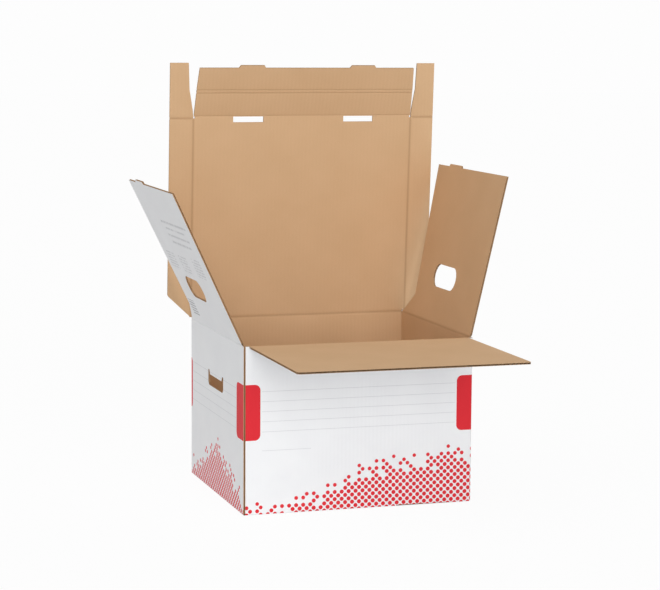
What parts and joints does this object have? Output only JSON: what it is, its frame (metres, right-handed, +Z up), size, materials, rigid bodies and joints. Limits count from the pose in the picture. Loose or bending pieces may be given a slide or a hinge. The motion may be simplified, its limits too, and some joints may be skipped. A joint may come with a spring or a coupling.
{
  "type": "archive transport box",
  "caption": "Open corrugated-board storage box with hand holes, side and front liners folded out, and an upright lid with a fold-in rim.",
  "frame": {"origin": "middle of the underside", "axes": "+Z up, the front wall faces -Y, +X to the right seen from the front"},
  "size_m": [0.5456, 0.5856, 0.688],
  "materials": {
    "printed_board": "white coated print over corrugated board",
    "kraft_board": "matt uncoated brown kraft liner",
    "cut_edge": "raw fluted edge"
  },
  "bodies": {
    "box": {"box_body": "printed_board"},
    "left_liner": {"left_side_liner": "printed_board"},
    "right_liner": {"right_side_liner": "printed_board"},
    "front_liner": {"front_liner": "kraft_board"},
    "lid": {"lid_panel": "kraft_board"},
    "left_strip": {"lid_left_strip": "kraft_board"},
    "right_strip": {"lid_right_strip": "kraft_board"},
    "left_corner_tab": {"lid_left_corner_tab": "kraft_board"},
    "right_corner_tab": {"lid_right_corner_tab": "kraft_board"},
    "lip": {"lid_lip": "kraft_board"},
    "rim_band": {"lid_rim_band": "kraft_board"},
    "tuck_panel": {"lid_tuck_panel": "kraft_board"}
  },
  "joints": [
    {"name": "left_liner_fold", "type": "hinge", "parent": "box", "child": "left_liner", "pos_m": [-0.18435, 0, 0.26315], "axis": [0, -1, 0], "range_deg": [-190, 70]},
    {"name": "right_liner_fold", "type": "hinge", "parent": "box", "child": "right_liner", "pos_m": [0.18435, 0, 0.26315], "axis": [0, 1, 0], "range_deg": [-178, 82]},
    {"name": "front_liner_fold", "type": "hinge", "parent": "box", "child": "front_liner", "pos_m": [0, -0.16285, 0.26315], "axis": [1, 0, 0], "range_deg": [-270, 7]},
    {"name": "lid_fold", "type": "hinge", "parent": "box", "child": "lid", "pos_m": [0, 0.16285, 0.26315], "axis": [-1, 0, 0], "range_deg": [-3.5, 100.5]},
    {"name": "left_strip_fold", "type": "hinge", "parent": "lid", "child": "left_strip", "pos_m": [-0.189, 0.16285, 0.26315], "axis": [0, 0.061, -0.9981], "range_deg": [-90, 0]},
    {"name": "right_strip_fold", "type": "hinge", "parent": "lid", "child": "right_strip", "pos_m": [0.189, 0.16285, 0.26315], "axis": [0, -0.061, 0.9981], "range_deg": [-22, 0]},
    {"name": "left_corner_tab_fold", "type": "hinge", "parent": "left_strip", "child": "left_corner_tab", "pos_m": [-0.209, 0.14243, 0.59703], "axis": [-1, 0, 0], "range_deg": [-90, 0]},
    {"name": "right_corner_tab_fold", "type": "hinge", "parent": "right_strip", "child": "right_corner_tab", "pos_m": [0.209, 0.14243, 0.59703], "axis": [-1, 0, 0], "range_deg": [-90, 0]},
    {"name": "lip_fold", "type": "hinge", "parent": "lid", "child": "lip", "pos_m": [0, 0.14222, 0.60052], "axis": [1, 0, 0], "range_deg": [-15, 75]},
    {"name": "rim_band_fold", "type": "hinge", "parent": "lip", "child": "rim_band", "pos_m": [0, 0.12952, 0.63845], "axis": [1, 0, 0], "range_deg": [0, 90]},
    {"name": "tuck_panel_fold", "type": "hinge", "parent": "rim_band", "child": "tuck_panel", "pos_m": [0, 0.12778, 0.64367], "axis": [1, 0, 0], "range_deg": [0, 90]}
  ]
}
